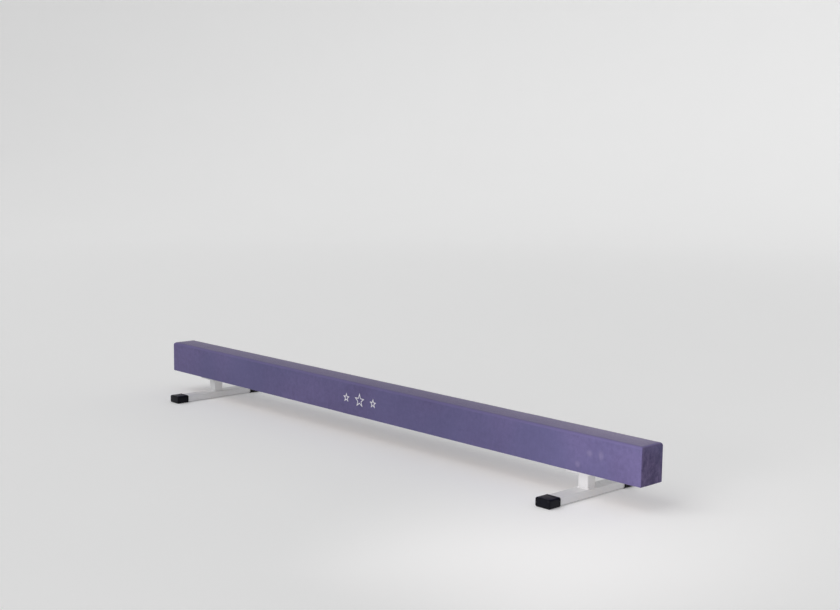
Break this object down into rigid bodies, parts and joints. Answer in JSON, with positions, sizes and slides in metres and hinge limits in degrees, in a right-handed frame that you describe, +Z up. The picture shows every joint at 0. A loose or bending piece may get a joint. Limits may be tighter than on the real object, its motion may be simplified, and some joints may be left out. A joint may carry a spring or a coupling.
{
  "type": "floor balance beam",
  "caption": "Low padded gymnastics balance beam with a suede cover on a laminated timber core, standing on short welded steel T-shaped legs with rubber end caps.",
  "frame": {"origin": "on the floor, under the middle of the beam, midway between the two legs", "axes": "+X along the beam, +Y from the front side to the rear side, +Z up to the walking surface"},
  "size_m": [2.4384, 0.4064, 0.203],
  "materials": {
    "suede": "matt purple-grey synthetic suede with a cloudy brushed nap",
    "foam": "closed-cell foam, matt",
    "timber": "planed laminated veneer lumber, unvarnished",
    "white_powder_coat": "satin white powder coat",
    "black_rubber": "moulded, semi-matt",
    "zinc_steel": "bright zinc plated"
  },
  "bodies": {
    "root": {"core_plank_front": "timber", "core_plank_rear": "timber", "top_foam": "foam", "front_foam": "foam", "rear_foam": "foam", "left_end_foam": "foam", "right_end_foam": "foam", "suede_cover": "suede", "left_end_panel": "suede", "right_end_panel": "suede", "left_mounting_plate": "white_powder_coat", "left_post": "white_powder_coat", "left_foot_tube": "white_powder_coat", "left_foot_weld": "white_powder_coat", "left_plate_weld": "white_powder_coat", "left_front_cap": "black_rubber", "left_rear_cap": "black_rubber", "left_bolt_1": "zinc_steel", "left_bolt_2": "zinc_steel", "left_bolt_3": "zinc_steel", "left_bolt_4": "zinc_steel", "left_insert_1": "zinc_steel", "left_insert_2": "zinc_steel", "left_insert_3": "zinc_steel", "left_insert_4": "zinc_steel", "right_mounting_plate": "white_powder_coat", "right_post": "white_powder_coat", "right_foot_tube": "white_powder_coat", "right_foot_weld": "white_powder_coat", "right_plate_weld": "white_powder_coat", "right_front_cap": "black_rubber", "right_rear_cap": "black_rubber", "right_bolt_1": "zinc_steel", "right_bolt_2": "zinc_steel", "right_bolt_3": "zinc_steel", "right_bolt_4": "zinc_steel", "right_insert_1": "zinc_steel", "right_insert_2": "zinc_steel", "right_insert_3": "zinc_steel", "right_insert_4": "zinc_steel"}
  },
  "joints": []
}
